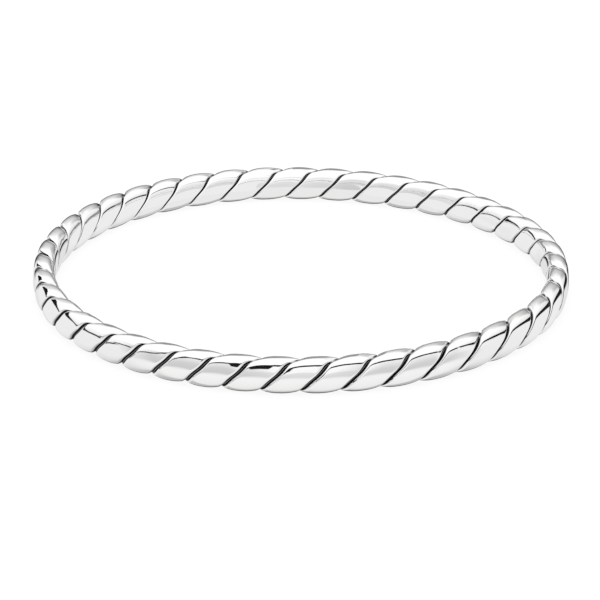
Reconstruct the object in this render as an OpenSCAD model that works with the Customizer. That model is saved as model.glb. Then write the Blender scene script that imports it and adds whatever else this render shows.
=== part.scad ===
// Twisted bangle: one closed ring of polished silver with a rope-like twist.
// The ring lies on its side on z = 0 and the wrist goes through along Z.
// The origin is the middle of the circle that the ring rests on.

/* [Ring] */
// Mean inside diameter, measured over the raised pads, in mm
inside_d = 60; // [50:1:74]
// How far the hand-closed ring is out of round: it bulges by this much at three places
out_of_round = 0.2; // [0:0.05:0.5]
// Thickness of the band, from the wrist side to the outer side
band_t = 2.7; // [2:0.05:4]
// Height of the band, from the side it rests on to its top
band_h = 4.25; // [3:0.05:6]
// How square the band's section is: 2 is an ellipse and 4 is nearly a box
squareness = 2.8; // [2:0.1:4]

/* [Twist] */
// Number of slanting grooves round the ring; an odd one makes a single endless strand
grooves = 43; // [33:1:51]
// Ring angle at which one groove crosses the middle of the outer side
first_groove = 174.5; // [0:0.1:360]
// How much further the grooves slant on the outer and wrist sides, in degrees of section
extra_slant = 10.7; // [0:0.1:20]
// Greatest lead of the twist that comes and goes once round the ring, in degrees
drift_once = 0.4; // [0:0.05:1]
// Greatest lead of the twist that comes and goes twice round the ring, in degrees
drift_twice = 0.95; // [0:0.05:1]
// Greatest lead of the twist that comes and goes three times round the ring, in degrees
drift_thrice = 0.55; // [0:0.05:1]

/* [Pads and grooves] */
// How far a pad's rounded shoulder falls to the groove's lip on the ring's top and bottom
shoulder_drop = 0.5; // [0:0.05:0.7]
// How late the shoulder falls: 2 is an even curve and 6 leaves the crown flat
shoulder_turn = 2.5; // [2:0.5:6]
// Width of a groove between its lips, measured straight across it
groove_w = 0.45; // [0.3:0.05:0.7]
// Depth of a groove below its lips
groove_depth = 0.35; // [0.1:0.05:0.6]

/* [Hidden] */

// Ring angles at which two of the twist's drifts are nil; the first is nil at 0
drift_twice_from = -28;
drift_thrice_from = 72;

// Half sizes of the band's section, and the radius of its centre line
half_t = band_t / 2;
half_h = band_h / 2;
ring_r = inside_d / 2 + half_t;

// Rows of the mesh from one groove to the next, and facets across one pad
rows_per_groove = 7;
facets_per_pad = 7;
rows = grooves * rows_per_groove;

// Each half turn of the section crosses one strand: a groove and the pad beside it
strands = 2;
columns_per_strand = facets_per_pad + 2;
columns = strands * columns_per_strand;

// Share of a strand's width that lies between the middle of a groove and its lip
strand_run = PI * (half_t + half_h) / strands;
groove_step = 2 * PI * ring_r / grooves;
strand_w = strand_run * groove_step / norm([strand_run, groove_step]);
lip = groove_w / 2 / strand_w;

// Reach of the section's outline at section angle f, on a section of half sizes 1:
// f is 0 on the outer side, 90 on top and 180 on the wrist side
function reach(f) =
    pow(pow(abs(cos(f)), squareness) + pow(abs(sin(f)), squareness), -1 / squareness);

// A point of the crown outline, as [outwards, up] from the centre line
function crown(f) = reach(f) * [half_t * cos(f), half_h * sin(f)];

// The direction straight out of the crown outline at section angle f
function slope(c, half) = sign(c) * pow(abs(c), squareness - 1) / half;
function outward(f) =
    let (n = [slope(cos(f), half_t), slope(sin(f), half_h)])
    n / norm(n);

// How far the surface lies below the crown outline, at share s of the way across a strand
// and section angle f: s is 0 and 1 at the bottom of a groove, and 0.5 on the pad's crown.
// The shoulders fade out on the outer and wrist sides, where the band is flat
function drop(s, f) =
    let (
        from_crown = abs(2 * s - 1),
        shoulder = shoulder_drop * pow(sin(f), 2) * pow(from_crown, shoulder_turn),
        into_groove = max(0, from_crown - 1 + 2 * lip) / (2 * lip)
    )
    shoulder + groove_depth * into_groove;

// Column j of the mesh stays at one share of a strand all round the ring
function strand_share(j) =
    let (c = j % columns_per_strand)
    c == 0 ? 0 : lip + (1 - 2 * lip) * (c - 1) / facets_per_pad;
function strand_of(j) = floor(j / columns_per_strand);

// Section angle of column j at lay angle u: the twist turns it half a turn each groove
function section_angle(u, j) =
    let (turn = 180 * (grooves * (u - first_groove) / 360 - strand_of(j) - strand_share(j)))
    turn - extra_slant * sin(2 * turn);

// Ring angle at lay angle u, with the twist's slight unevenness
function ring_angle(u) =
    u
    + drift_once * sin(u)
    + drift_twice * sin(2 * (u - drift_twice_from))
    + drift_thrice * sin(3 * (u - drift_thrice_from));

// Radius of the centre line at ring angle a
function centre_line(a) = ring_r + out_of_round * cos(3 * a);

// Point of the surface in row i and column j
function surface_point(i, j) =
    let (
        u = 360 * i / rows,
        f = section_angle(u, j),
        p = crown(f) - drop(strand_share(j), f) * outward(f),
        a = ring_angle(u),
        r = centre_line(a) + p[0]
    )
    [r * cos(a), r * sin(a), half_h + p[1]];

// Place of a point in the list. The ring closes on itself, and with an odd number
// of grooves each strand then runs on into the other one
seam_shift = grooves % 2 == 0 ? 0 : columns_per_strand;
function place(i, j) =
    i < rows
        ? i * columns + j % columns
        : (j + seam_shift) % columns;

module twisted_ring() {
    points = [
        for (i = [0:rows - 1])
            for (j = [0:columns - 1])
                surface_point(i, j)
    ];
    faces = [
        for (i = [0:rows - 1])
            for (j = [0:columns - 1])
                let (
                    here = place(i, j),
                    ahead = place(i + 1, j),
                    across = place(i + 1, j + 1),
                    beside = place(i, j + 1)
                )
                each [[here, ahead, across], [here, across, beside]]
    ];
    color("silver")
    polyhedron(points = points, faces = faces, convexity = 10);
}

twisted_ring();
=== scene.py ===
# A twisted silver bangle lying on a pale floor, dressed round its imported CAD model.
import math

import bpy
import numpy as np
from mathutils import Matrix, Vector


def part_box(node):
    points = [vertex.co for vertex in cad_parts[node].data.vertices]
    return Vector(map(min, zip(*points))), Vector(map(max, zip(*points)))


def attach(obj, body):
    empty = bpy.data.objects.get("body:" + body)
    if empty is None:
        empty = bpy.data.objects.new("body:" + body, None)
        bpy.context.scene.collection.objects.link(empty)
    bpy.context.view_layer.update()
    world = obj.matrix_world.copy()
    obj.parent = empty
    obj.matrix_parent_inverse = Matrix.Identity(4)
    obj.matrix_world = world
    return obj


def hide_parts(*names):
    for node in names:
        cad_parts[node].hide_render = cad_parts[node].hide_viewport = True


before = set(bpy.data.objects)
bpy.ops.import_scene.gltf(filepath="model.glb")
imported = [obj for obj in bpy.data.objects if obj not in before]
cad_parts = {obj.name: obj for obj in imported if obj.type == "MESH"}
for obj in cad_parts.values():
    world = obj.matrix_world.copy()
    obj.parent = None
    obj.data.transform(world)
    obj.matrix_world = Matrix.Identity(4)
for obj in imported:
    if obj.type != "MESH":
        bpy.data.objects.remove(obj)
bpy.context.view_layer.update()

RING_NODE = "twisted_ring"
MM = 0.001
BLACK = (0, 0, 0, 1)
WHITE = (1, 1, 1, 1)

# The band, in metres. Its height and the ring's reach come from the frame. The ring bulges
# at three places by as much as it is out of round. Across from a bulge it is flat by the
# same amount, so half its width is its mean radius outside
RING_LOW, RING_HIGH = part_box(RING_NODE)
BAND_H = RING_HIGH.z - RING_LOW.z
BAND_T = 2.7 * MM
BULGES = 3
OUT_OF_ROUND = 0.2 * MM
OUTER_R = (RING_HIGH.x - RING_LOW.x) / 2
HALF_T = BAND_T / 2
HALF_H = BAND_H / 2
RING_R = OUTER_R - HALF_T
WRIST_R = RING_R - HALF_T
MID_Z = RING_LOW.z + HALF_H
SQUARENESS = 2.8

# The twist: slanting grooves round the ring, their extra slant on the outer and wrist
# sides in degrees of section angle, and the slight unevenness in degrees of ring angle
GROOVES = 43
FIRST_GROOVE = 174.5
EXTRA_SLANT = 10.7
DRIFT_ONCE = 0.4
DRIFT_TWICE, DRIFT_TWICE_FROM = 0.95, -28
DRIFT_THRICE, DRIFT_THRICE_FROM = 0.55, 72

# The pads and the grooves between them
SHOULDER_DROP = 0.5 * MM
SHOULDER_TURN = 2.5
GROOVE_OUTSIDE_W, GROOVE_WRIST_W = 0.6 * MM, 0.38 * MM
GROOVE_DEPTH = 0.45 * MM
GROOVE_ON_TOP = 0.4
LIP_ROUND = 0.05 * MM

# The mesh: rows from one groove to the next, columns across one strand, and how
# strongly the columns gather at the grooves
STRANDS = 2
ROWS_PER_GROOVE = 24
COLUMNS_PER_STRAND = 40
GATHER = 0.72


def strand_width():
    """Distance between two neighbouring grooves, measured straight across them."""
    run = math.pi * (HALF_T + HALF_H) / STRANDS
    step = 2 * math.pi * RING_R / GROOVES
    return run * step / math.hypot(run, step)


STRAND_W = strand_width()


def groove_share(share, angle):
    """How far into a groove a share of a strand lies: 0 at the lip and 1 at the bottom.

    The grooves are narrower on the wrist side, where the twist's inner way round is shorter.
    """
    outside = (1 + np.cos(angle)) / 2
    width = GROOVE_WRIST_W + (GROOVE_OUTSIDE_W - GROOVE_WRIST_W) * outside
    from_bottom = (1 - np.abs(2 * share - 1)) / 2 * STRAND_W
    return 1 - from_bottom / (width / 2)


def groove_fall(into):
    """Depth at a share into a groove, 0 on the pad and 1 at the bottom, with a rounded lip."""
    steep = GROOVE_OUTSIDE_W / 2 / LIP_ROUND
    return np.log1p(np.exp(steep * into)) / math.log1p(math.exp(steep))


def drop(share, angle):
    """How far the surface lies below the crown outline, at a share of a strand.

    The shoulders fade out on the outer and wrist sides, where the band is flat, and the
    grooves grow shallow on the top and bottom.
    """
    from_crown = np.abs(2 * share - 1)
    shoulder = SHOULDER_DROP * np.sin(angle) ** 2 * from_crown ** SHOULDER_TURN
    depth = GROOVE_DEPTH * (GROOVE_ON_TOP + (1 - GROOVE_ON_TOP) * np.cos(angle) ** 2)
    return shoulder + depth * groove_fall(groove_share(share, angle))


def crown(angle):
    """The section's outline at the pads' crown, and the direction straight out of it."""
    c, s = np.cos(angle), np.sin(angle)
    reach = (np.abs(c) ** SQUARENESS + np.abs(s) ** SQUARENESS) ** (-1 / SQUARENESS)
    out = np.sign(c) * np.abs(c) ** (SQUARENESS - 1) / HALF_T
    up = np.sign(s) * np.abs(s) ** (SQUARENESS - 1) / HALF_H
    length = np.hypot(out, up)
    return reach * HALF_T * c, reach * HALF_H * s, out / length, up / length


def ring_angle(lay):
    """Ring angle at a lay angle, both in radians, with the twist's slight unevenness."""
    once = math.radians(DRIFT_ONCE) * np.sin(lay)
    twice = math.radians(DRIFT_TWICE) * np.sin(2 * (lay - math.radians(DRIFT_TWICE_FROM)))
    thrice = math.radians(DRIFT_THRICE) * np.sin(3 * (lay - math.radians(DRIFT_THRICE_FROM)))
    return lay + once + twice + thrice


def ring_faces(rows, columns):
    """The mesh's faces. With an odd number of grooves each strand runs on into the other."""
    place = np.arange(rows * columns).reshape(rows, columns)
    seam_shift = COLUMNS_PER_STRAND if GROOVES % 2 else 0
    ahead = np.vstack([place[1:], np.roll(place[:1], -seam_shift, axis=1)])
    beside = np.roll(place, -1, axis=1)
    across = np.roll(ahead, -1, axis=1)
    return np.stack([place, beside, across, ahead], -1).reshape(-1, 4)


def build_ring():
    """The twisted ring as one closed mesh.

    It has two attributes that the silver reads: "groove" is how far a point lies into a
    groove, and "side" is 1 on the outer and wrist sides and 0 on the top and bottom.
    """
    rows = GROOVES * ROWS_PER_GROOVE
    columns = STRANDS * COLUMNS_PER_STRAND
    lay = (2 * math.pi * np.arange(rows) / rows)[:, None]
    step = np.arange(columns)[None, :] / COLUMNS_PER_STRAND
    gathered = step - GATHER * np.sin(2 * math.pi * step) / (2 * math.pi)
    share = gathered % 1
    turn = math.pi * (GROOVES * (lay - math.radians(FIRST_GROOVE)) / (2 * math.pi) - gathered)
    angle = turn - math.radians(EXTRA_SLANT) * np.sin(2 * turn)
    out, up, slope_out, slope_up = crown(angle)
    fall = drop(share, angle)
    out = out - fall * slope_out
    up = up - fall * slope_up
    around = ring_angle(lay)
    radius = RING_R + OUT_OF_ROUND * np.cos(BULGES * around) + out
    points = np.stack([radius * np.cos(around), radius * np.sin(around), MID_Z + up], -1)

    mesh = bpy.data.meshes.new("silver_ring")
    mesh.from_pydata(points.reshape(-1, 3).tolist(), [], ring_faces(rows, columns).tolist())
    mesh.shade_smooth()
    for name, values in (("groove", groove_share(share, angle)), ("side", np.cos(angle) ** 2)):
        attribute = mesh.attributes.new(name, "FLOAT", "POINT")
        attribute.data.foreach_set("value", values.ravel().astype(np.float32))
    ring = bpy.data.objects.new("silver_ring", mesh)
    bpy.context.scene.collection.objects.link(ring)
    return ring


def shader_node(tree, kind, x, y, **values):
    """Adds a node, sets its inputs and properties by name and returns it."""
    node = tree.nodes.new(kind)
    node.location = (x, y)
    for name, value in values.items():
        if name in node.inputs:
            node.inputs[name].default_value = value
        else:
            setattr(node, name, value)
    return node


def math_node(tree, operation, x, y, *operands):
    """A math node whose operands are numbers or sockets; returns its output."""
    node = tree.nodes.new("ShaderNodeMath")
    node.location = (x, y)
    node.operation = operation
    for socket, operand in zip(node.inputs, operands):
        if isinstance(operand, (int, float)):
            socket.default_value = operand
        else:
            tree.links.new(operand, socket)
    return node.outputs[0]


def mix_node(tree, share, low, high, x, y):
    """A mix of two colours by a share, all of them colours or sockets; returns its output."""
    node = shader_node(tree, "ShaderNodeMix", x, y, data_type="RGBA")
    for name, value in (("Factor", share), ("A", low), ("B", high)):
        if isinstance(value, tuple):
            node.inputs[name].default_value = value
        else:
            tree.links.new(value, node.inputs[name])
    return node.outputs["Result"]


def ramp_node(tree, factor, stops, x, y):
    """A colour ramp of grey stops, given as (place, tone); returns its output."""
    node = tree.nodes.new("ShaderNodeValToRGB")
    node.location = (x, y)
    elements = node.color_ramp.elements
    while len(elements) < len(stops):
        elements.new(0.5)
    for element, (place, tone) in zip(elements, stops):
        element.position = place
        element.color = (tone, tone, tone, 1)
    tree.links.new(factor, node.inputs[0])
    return node.outputs[0]


# The silver, and the dark oxide in its grooves. The oxide's share goes with how far a point
# lies into a groove, and with how near it is to the outer or the wrist side
SILVER = (0.93, 0.93, 0.925, 1)
OXIDE = (0.006, 0.006, 0.006, 1)
OXIDE_IN_GROOVE = [(0.0, 0), (0.2, 0), (0.42, 1), (0.8, 1), (0.92, 0.66), (1.0, 0.6)]
OXIDE_ON_SIDE = [(0.0, 0.3), (0.03, 0.6), (0.1, 0.95), (0.25, 1)]

# Roughness: of the polish, of its fine handling marks and what the oxide adds. The marks
# are a noise with this many waves to the metre
POLISH_ROUGH, MARKS_ROUGH, OXIDE_ROUGH = 0.03, 0.09, 0.25
MARKS_PER_M = 900.0
MARKS_DETAIL = 4.0


def silver_material():
    """Mirror-polished silver, with dark oxide in the grooves and fine handling marks."""
    material = bpy.data.materials.new("polished_silver")
    material.use_nodes = True
    tree = material.node_tree
    tree.nodes.clear()
    output = shader_node(tree, "ShaderNodeOutputMaterial", 900, 0)
    metal = shader_node(tree, "ShaderNodeBsdfPrincipled", 600, 0, Metallic=1.0)
    tree.links.new(metal.outputs[0], output.inputs["Surface"])

    groove = shader_node(tree, "ShaderNodeAttribute", -900, 200, attribute_name="groove")
    in_groove = ramp_node(tree, groove.outputs["Fac"], OXIDE_IN_GROOVE, -650, 200)
    side = shader_node(tree, "ShaderNodeAttribute", -900, 500, attribute_name="side")
    on_side = ramp_node(tree, side.outputs["Fac"], OXIDE_ON_SIDE, -650, 500)
    oxide = math_node(tree, "MULTIPLY", -300, 300, in_groove, on_side)
    colour = mix_node(tree, oxide, SILVER, OXIDE, 0, 200)
    tree.links.new(colour, metal.inputs["Base Color"])

    position = shader_node(tree, "ShaderNodeTexCoord", -1100, -300)
    marks = shader_node(tree, "ShaderNodeTexNoise", -850, -300,
                        Scale=MARKS_PER_M, Detail=MARKS_DETAIL)
    tree.links.new(position.outputs["Object"], marks.inputs["Vector"])
    roughness = shader_node(tree, "ShaderNodeMapRange", -400, -250)
    roughness.inputs["To Min"].default_value = POLISH_ROUGH
    roughness.inputs["To Max"].default_value = MARKS_ROUGH
    tree.links.new(marks.outputs["Fac"], roughness.inputs["Value"])
    oxide_rough = math_node(tree, "MULTIPLY", 0, -50, oxide, OXIDE_ROUGH)
    total = math_node(tree, "ADD", 200, -100, roughness.outputs[0], oxide_rough)
    tree.links.new(total, metal.inputs["Roughness"])
    return material


SCREEN_GAMMA = 2.2


def shown(tone):
    """The linear light that shows on screen as a tone from 0 to 1."""
    return tone ** SCREEN_GAMMA


def place_on_ramp(degrees, span):
    """Where an angle lies on a ramp that runs over a span of degrees centred on 0."""
    return degrees / span + 0.5


# The studio tent: the tones that show at a height in degrees. The first list holds where no
# zone covers it. The zones lie over it and each other in turn, and each also has how much
# of it shows at an azimuth: 0 is towards the camera and 90 is right
TENT_STRENGTH = 1.1
TENT_TONES = [(-90, 0.7), (-72, 0.88), (-60, 0.91), (-24, 0.94), (-21, 0.84), (-9, 0.87),
              (-6, 0.96), (20, 0.98), (30, 1)]
TENT_ZONES = {
    "greyer camera side": (
        [(-90, 0.7), (-72, 0.88), (-60, 0.91), (-24, 0.94), (-21, 0.78), (-4, 0.81), (6, 0.86),
         (18, 0.89), (30, 1)],
        [(-180, 1), (-25, 1), (-5, 0), (15, 0), (35, 0.8), (62, 0.8), (76, 0), (180, 0)]),
    "left": (
        [(-90, 0.7), (-58, 0.72), (-44, 0.86), (-30, 0.91), (0, 0.92), (12, 0.96), (30, 1)],
        [(-180, 1), (-80, 1), (-62, 0), (180, 0)]),
    "right": (
        [(-90, 0.7), (-58, 0.72), (-44, 0.85), (-30, 0.91), (0, 0.92), (12, 0.88), (34, 0.95),
         (45, 1)],
        [(-180, 0), (66, 0), (82, 1), (180, 1)]),
    "behind": (
        [(-90, 0.7), (-64, 0.3), (-44, 0.35), (-37, 0.84), (-17, 0.87), (-14, 0.05), (-5, 0.25),
         (4, 0.5), (14, 0.72), (26, 0.84), (42, 1)],
        [(-180, 1), (-156, 1), (-146, 0), (148, 0), (154, 1), (180, 1)]),
    "behind and right": (
        [(-90, 0.7), (-64, 0.3), (-44, 0.35), (-37, 0.84), (-17, 0.87), (-14, 0.1), (-5, 0.35),
         (4, 0.52), (14, 0.66), (30, 0.75), (38, 0.9), (48, 1)],
        [(-180, 0), (142, 0), (154, 1), (160, 1), (178, 0), (180, 0)]),
}

# The dark gap in the tent, in degrees: the height of its middle at an azimuth, its half
# width at an azimuth, and the width of its soft edges
GAP_HEIGHT = [(-180, 20), (-132, 12), (-112, 3), (-98, -6), (-78, -5), (-66, 0), (-60, 2),
              (-34, 22), (-20, 27), (0, 29), (20, 38), (40, 36), (66, 28), (74, 24), (84, 14.5),
              (100, 8), (122, 4), (150, -7), (180, -10)]
GAP_REACH = [(-150, 0), (-136, 5), (-112, 6), (-104, 4), (-84, 4), (-76, 0), (24, 0),
             (34, 1.5), (60, 2.5), (72, 5), (104, 5.5), (118, 9), (145, 9), (154, 8), (160, 0)]
GAP_SOFT = 2.0
GAP_GLOW = 0.01
GAP_COLOUR = (GAP_GLOW, GAP_GLOW, GAP_GLOW, 1)


def tent_angles(tree):
    """Height and azimuth of the direction looked in, each as a place from 0 to 1."""
    direction = shader_node(tree, "ShaderNodeTexCoord", -1400, 0)
    parts = shader_node(tree, "ShaderNodeSeparateXYZ", -1200, 0)
    tree.links.new(direction.outputs["Generated"], parts.inputs[0])
    x, y, z = parts.outputs
    rise = math_node(tree, "ARCSINE", -1000, -200, z)
    height = math_node(tree, "MULTIPLY_ADD", -800, -200, rise, 1 / math.pi, 0.5)
    ahead = math_node(tree, "MULTIPLY", -1000, 100, y, -1.0)
    turn = math_node(tree, "ARCTAN2", -800, 200, x, ahead)
    azimuth = math_node(tree, "MULTIPLY_ADD", -600, 200, turn, 0.5 / math.pi, 0.5)
    return height, azimuth


def paint_surroundings():
    """A white studio tent: greyer behind and near the floor, with a dark gap in it."""
    world = bpy.data.worlds.new("studio")
    bpy.context.scene.world = world
    world.use_nodes = True
    tree = world.node_tree
    tree.nodes.clear()
    output = shader_node(tree, "ShaderNodeOutputWorld", 1600, 0)
    light = shader_node(tree, "ShaderNodeBackground", 1400, 0, Strength=TENT_STRENGTH)
    tree.links.new(light.outputs[0], output.inputs["Surface"])
    height, azimuth = tent_angles(tree)

    def by_height(tones, y):
        stops = [(place_on_ramp(angle, 180), shown(tone)) for angle, tone in tones]
        return ramp_node(tree, height, stops, -300, y)

    def by_azimuth(values, y, scale=1.0, offset=0.0):
        stops = [(place_on_ramp(angle, 360), value * scale + offset) for angle, value in values]
        return ramp_node(tree, azimuth, stops, -300, y)

    tent = by_height(TENT_TONES, 0)
    for row, (zone, (tones, shares)) in enumerate(TENT_ZONES.items(), 1):
        tone = by_height(tones, -600 * row)
        share = by_azimuth(shares, -600 * row + 300)
        tone.node.label = zone
        tent = mix_node(tree, share, tent, tone, 200 * row, -600 * row)

    middle = by_azimuth(GAP_HEIGHT, 600, 1 / 180, 0.5)
    reach = by_azimuth(GAP_REACH, 900, 1 / 180)
    over_middle = math_node(tree, "SUBTRACT", 0, 600, height, middle)
    away = math_node(tree, "ABSOLUTE", 200, 600, over_middle)
    inside = math_node(tree, "SUBTRACT", 400, 600, reach, away)
    gap = math_node(tree, "MULTIPLY", 600, 600, inside, 180 / GAP_SOFT)
    gap = math_node(tree, "MINIMUM", 800, 600, gap, 1.0)
    gap = math_node(tree, "MAXIMUM", 1000, 600, gap, 0.0)
    tent = mix_node(tree, gap, tent, GAP_COLOUR, 1200, 0)
    tree.links.new(tent, light.inputs["Color"])


def matt_material(name, colour, glow):
    """A matt surface that also glows by itself."""
    material = bpy.data.materials.new(name)
    material.use_nodes = True
    surface = material.node_tree.nodes["Principled BSDF"]
    surface.inputs["Base Color"].default_value = colour
    surface.inputs["Specular IOR Level"].default_value = 0.0
    surface.inputs["Emission Color"].default_value = WHITE
    surface.inputs["Emission Strength"].default_value = glow
    return material


def hang_card(name, near, far, glow):
    """A card of the studio between two rows of points, which only the silver shows."""
    points = near + far[::-1]
    count = len(points)
    faces = [(i, i + 1, count - 2 - i, count - 1 - i) for i in range(count // 2 - 1)]
    mesh = bpy.data.meshes.new(name)
    mesh.from_pydata(points, [], faces)
    mesh.materials.append(matt_material(name, BLACK, glow))
    card = bpy.data.objects.new(name, mesh)
    bpy.context.scene.collection.objects.link(card)
    card.visible_camera = False
    card.visible_diffuse = False
    card.visible_shadow = False


def pad_ray(ring_place):
    """Start and way of the reflection in the middle of a pad, at degrees from the front."""
    place = math.radians(ring_place)
    start = (RING_R * math.sin(place), RING_R * math.cos(place), 0.0)
    return start, (math.sin(2 * place), math.cos(2 * place))


def far_edge_ray(ring_place):
    """Start and way of the reflection in a pad's far top edge, which goes straight back."""
    place = math.radians(ring_place)
    start = (WRIST_R * math.sin(place), WRIST_R * math.cos(place), HALF_H)
    return start, (0.0, -1.0)


def card_point(ray, height, plane):
    """Where a ray that rises by a height in degrees meets the plane of a card.

    A start is given to the right of, ahead of and over the ring's middle, and a way to the
    right and ahead. Ahead is towards the camera. A plane is given by its climb to the
    right, its climb ahead and its height over the ring's middle.
    """
    (right, ahead, over), (way_right, way_ahead) = ray
    climb_right, climb_ahead, over_middle = plane
    plane_over = over_middle + climb_right * right + climb_ahead * ahead
    climb = climb_right * way_right + climb_ahead * way_ahead
    away = (plane_over - over) / (math.tan(math.radians(height)) - climb)
    return right + way_right * away, -ahead - way_ahead * away, MID_Z + plane_over + climb * away


def hang_in_plane(name, plane, edges, glow, ray=pad_ray):
    """A card in a plane, between the edges that the silver shows.

    They are given as (place, near, far): a ring angle from the front, and the heights in the
    reflection there of the card's near and far edge, all in degrees.
    """
    nears = [card_point(ray(place), near, plane) for place, near, far in edges]
    fars = [card_point(ray(place), far, plane) for place, near, far in edges]
    hang_card(name, nears, fars, glow)


def even_edges(places, near, far):
    """Edges that show at the same two heights at every place."""
    return [(place, near, far) for place in places]


# Black cards give the lines and marks on the front, left and right pads. Each plane passes
# a little over the middle of the far side, where the wrist side sees its card edge on
CARD_LIFT = 1.15 * MM
FRONT_CLIMB, FRONT_CLIMB_RIGHT = 0.1, 0.05
FRONT_PLANE = (FRONT_CLIMB_RIGHT, FRONT_CLIMB, FRONT_CLIMB * RING_R + CARD_LIFT)
FRONT_EDGES = [(-42, 3, -1.5), (-37, 5, -0.5), (-33, 8, 1), (-31, 7, 1), (-28, 18, 8),
               (-26, 29, 18), (-24, 38, 22), (-22, 36, 27), (-19, 37, 27), (-13, 35, 25),
               (-11, 39, 8), (-4, 42, 6.5), (-3, 44, 29), (6, 46, 31), (12, 45, 31),
               (20, 43, 28), (28, 39, 26), (33, 36, 22)]
LEFT_CLIMB = 0.12
LEFT_PLANE = (-LEFT_CLIMB, 0.0, LEFT_CLIMB * RING_R + CARD_LIFT)
LEFT_EDGES = [(-72, 34, 7), (-66, 34, 7), (-61, 20, 7), (-57, 10, 7)]
RIGHT_CLIMB = 0.1
RIGHT_PLANE = (RIGHT_CLIMB, 0.0, RIGHT_CLIMB * RING_R + CARD_LIFT)
RIGHT_EDGES = [(34, 34, 21), (38, 29, 15), (42, 24, 8), (50, 20, 7), (58, 16, 7)]


def hang_black_cards():
    """Black lines and marks in the silver of the front, left and right pads."""
    hang_in_plane("front_card", FRONT_PLANE, FRONT_EDGES, GAP_GLOW)
    hang_in_plane("left_card", LEFT_PLANE, LEFT_EDGES, GAP_GLOW)
    hang_in_plane("right_card", RIGHT_PLANE, RIGHT_EDGES, GAP_GLOW)


# Pale cards set the tone of the back's wrist side, which looks down on them. Two lie low
# in the ring's hole, and one lies below the floor under it. Depths are below the ring's middle
HOLE_DEPTH = 0.2 * BAND_H
HOLE_PLANE = (0.0, 0.0, -HOLE_DEPTH)
HOLE_RIGHT_EDGES = even_edges(range(115, 164, 8), -22, -3.5)
HOLE_LEFT_EDGES = even_edges(range(192, 249, 8), -22, -3.5)
HOLE_TONE = 0.915
TABLE_DEPTH = HALF_H + 8 * MM
TABLE_PLANE = (0.0, 0.0, -TABLE_DEPTH)
TABLE_EDGES = even_edges(range(124, 237, 8), -46, -20)
TABLE_TONE = 0.9


def hang_pale_cards():
    """The pale tones of the back's wrist side."""
    hole_glow = TENT_STRENGTH * shown(HOLE_TONE)
    table_glow = TENT_STRENGTH * shown(TABLE_TONE)
    hang_in_plane("hole_card_right", HOLE_PLANE, HOLE_RIGHT_EDGES, hole_glow)
    hang_in_plane("hole_card_left", HOLE_PLANE, HOLE_LEFT_EDGES, hole_glow)
    hang_in_plane("table_card", TABLE_PLANE, TABLE_EDGES, table_glow)


# Grey cards darken the far edges of the front and back pads, which show what lies straight
# behind them. The front pads' card rises towards the camera, from the wrist side of the
# back. The back pads' card stands upright behind the ring, at heights over the floor
EDGE_TONE = 0.6
FAR_FRONT_CLIMB = 0.3
FAR_FRONT_PLANE = (0.0, FAR_FRONT_CLIMB, FAR_FRONT_CLIMB * WRIST_R)
FAR_FRONT_EDGES = even_edges(range(-56, 17, 8), 37, 8)
FAR_BACK_PLACES = range(134, 183, 4)
FAR_BACK_R = RING_R + 10 * MM
FAR_BACK_LOW, FAR_BACK_HIGH = 5.5 * MM, 13 * MM


def back_edge_row(over_floor):
    """A row of points behind the ring, at a height over the floor."""
    places = [math.radians(place) for place in FAR_BACK_PLACES]
    z = RING_LOW.z + over_floor
    return [(FAR_BACK_R * math.sin(place), -FAR_BACK_R * math.cos(place), z) for place in places]


def hang_grey_cards():
    """Grey lines along the far edges of the front and back pads."""
    glow = shown(EDGE_TONE)
    hang_in_plane("front_edge_card", FAR_FRONT_PLANE, FAR_FRONT_EDGES, glow, far_edge_ray)
    hang_card("back_edge_card", back_edge_row(FAR_BACK_HIGH), back_edge_row(FAR_BACK_LOW), glow)


# The floor, in metres: pale because it glows, and dark enough for only a faint shadow
FLOOR_SIZE = 4.0
FLOOR_COLOUR = (0.08, 0.08, 0.08, 1)
FLOOR_GLOW = 0.9


def lay_floor():
    """A plain pale floor that the ring rests on."""
    bpy.ops.mesh.primitive_plane_add(size=FLOOR_SIZE, location=(0, 0, RING_LOW.z))
    floor = bpy.context.object
    floor.name = "floor"
    floor.data.materials.append(matt_material("pale_floor", FLOOR_COLOUR, FLOOR_GLOW))
    floor.visible_glossy = False


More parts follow.
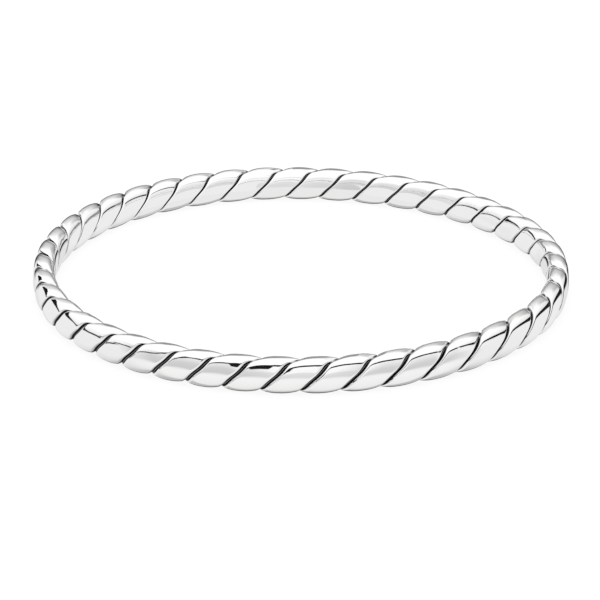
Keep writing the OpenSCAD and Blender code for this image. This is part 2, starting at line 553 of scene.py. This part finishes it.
# The lamp, in metres and watts
LAMP_SIZE = 1.6
LAMP_HEIGHT = 1.2
LAMP_POWER = 12


def hang_lamp():
    """One wide soft lamp overhead, which lights the floor."""
    lamp = bpy.data.lights.new("overhead", "AREA")
    lamp.shape = "DISK"
    lamp.size = LAMP_SIZE
    lamp.energy = LAMP_POWER
    holder = bpy.data.objects.new("overhead", lamp)
    holder.location = (0, 0, LAMP_HEIGHT)
    holder.visible_glossy = False
    bpy.context.scene.collection.objects.link(holder)


# The camera, as the photograph stands to the ring, and how near and far it sees in metres
CAMERA_REACH = 11.298 * RING_R
CAMERA_RISE = math.radians(21.85)
CAMERA_ROLL = math.radians(0.44)
AIM_BELOW = 3.52 * MM
AIM_RIGHT = 0.09 * MM
LENS_MM = 173.5
SENSOR_MM = 36
SEES_FROM, SEES_TO = 0.01, 10


def place_camera():
    """A long lens at the photograph's angle, aimed a little below the ring's middle."""
    data = bpy.data.cameras.new("camera")
    data.lens = LENS_MM
    data.sensor_width = SENSOR_MM
    data.clip_start = SEES_FROM
    data.clip_end = SEES_TO
    camera = bpy.data.objects.new("camera", data)
    middle = Vector((0, 0, MID_Z))
    back = Vector((0, -math.cos(CAMERA_RISE), math.sin(CAMERA_RISE)))
    right = Vector((1, 0, 0))
    up = back.cross(right)
    place = middle + back * CAMERA_REACH
    aim = middle - up * AIM_BELOW + right * AIM_RIGHT
    back = (place - aim).normalized()
    level = Vector((0, 0, 1)).cross(back).normalized()
    rise = back.cross(level)
    right = level * math.cos(CAMERA_ROLL) + rise * math.sin(CAMERA_ROLL)
    up = back.cross(right)
    turned = Matrix((right, up, back)).transposed().to_4x4()
    camera.matrix_world = Matrix.Translation(place) @ turned
    bpy.context.scene.collection.objects.link(camera)
    bpy.context.scene.camera = camera


bpy.context.scene.view_settings.view_transform = "Standard"
place_camera()
paint_surroundings()
hang_lamp()
hang_black_cards()
hang_pale_cards()
hang_grey_cards()
lay_floor()

silver_ring = build_ring()
silver_ring.data.materials.append(silver_material())
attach(silver_ring, "root")
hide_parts(RING_NODE)
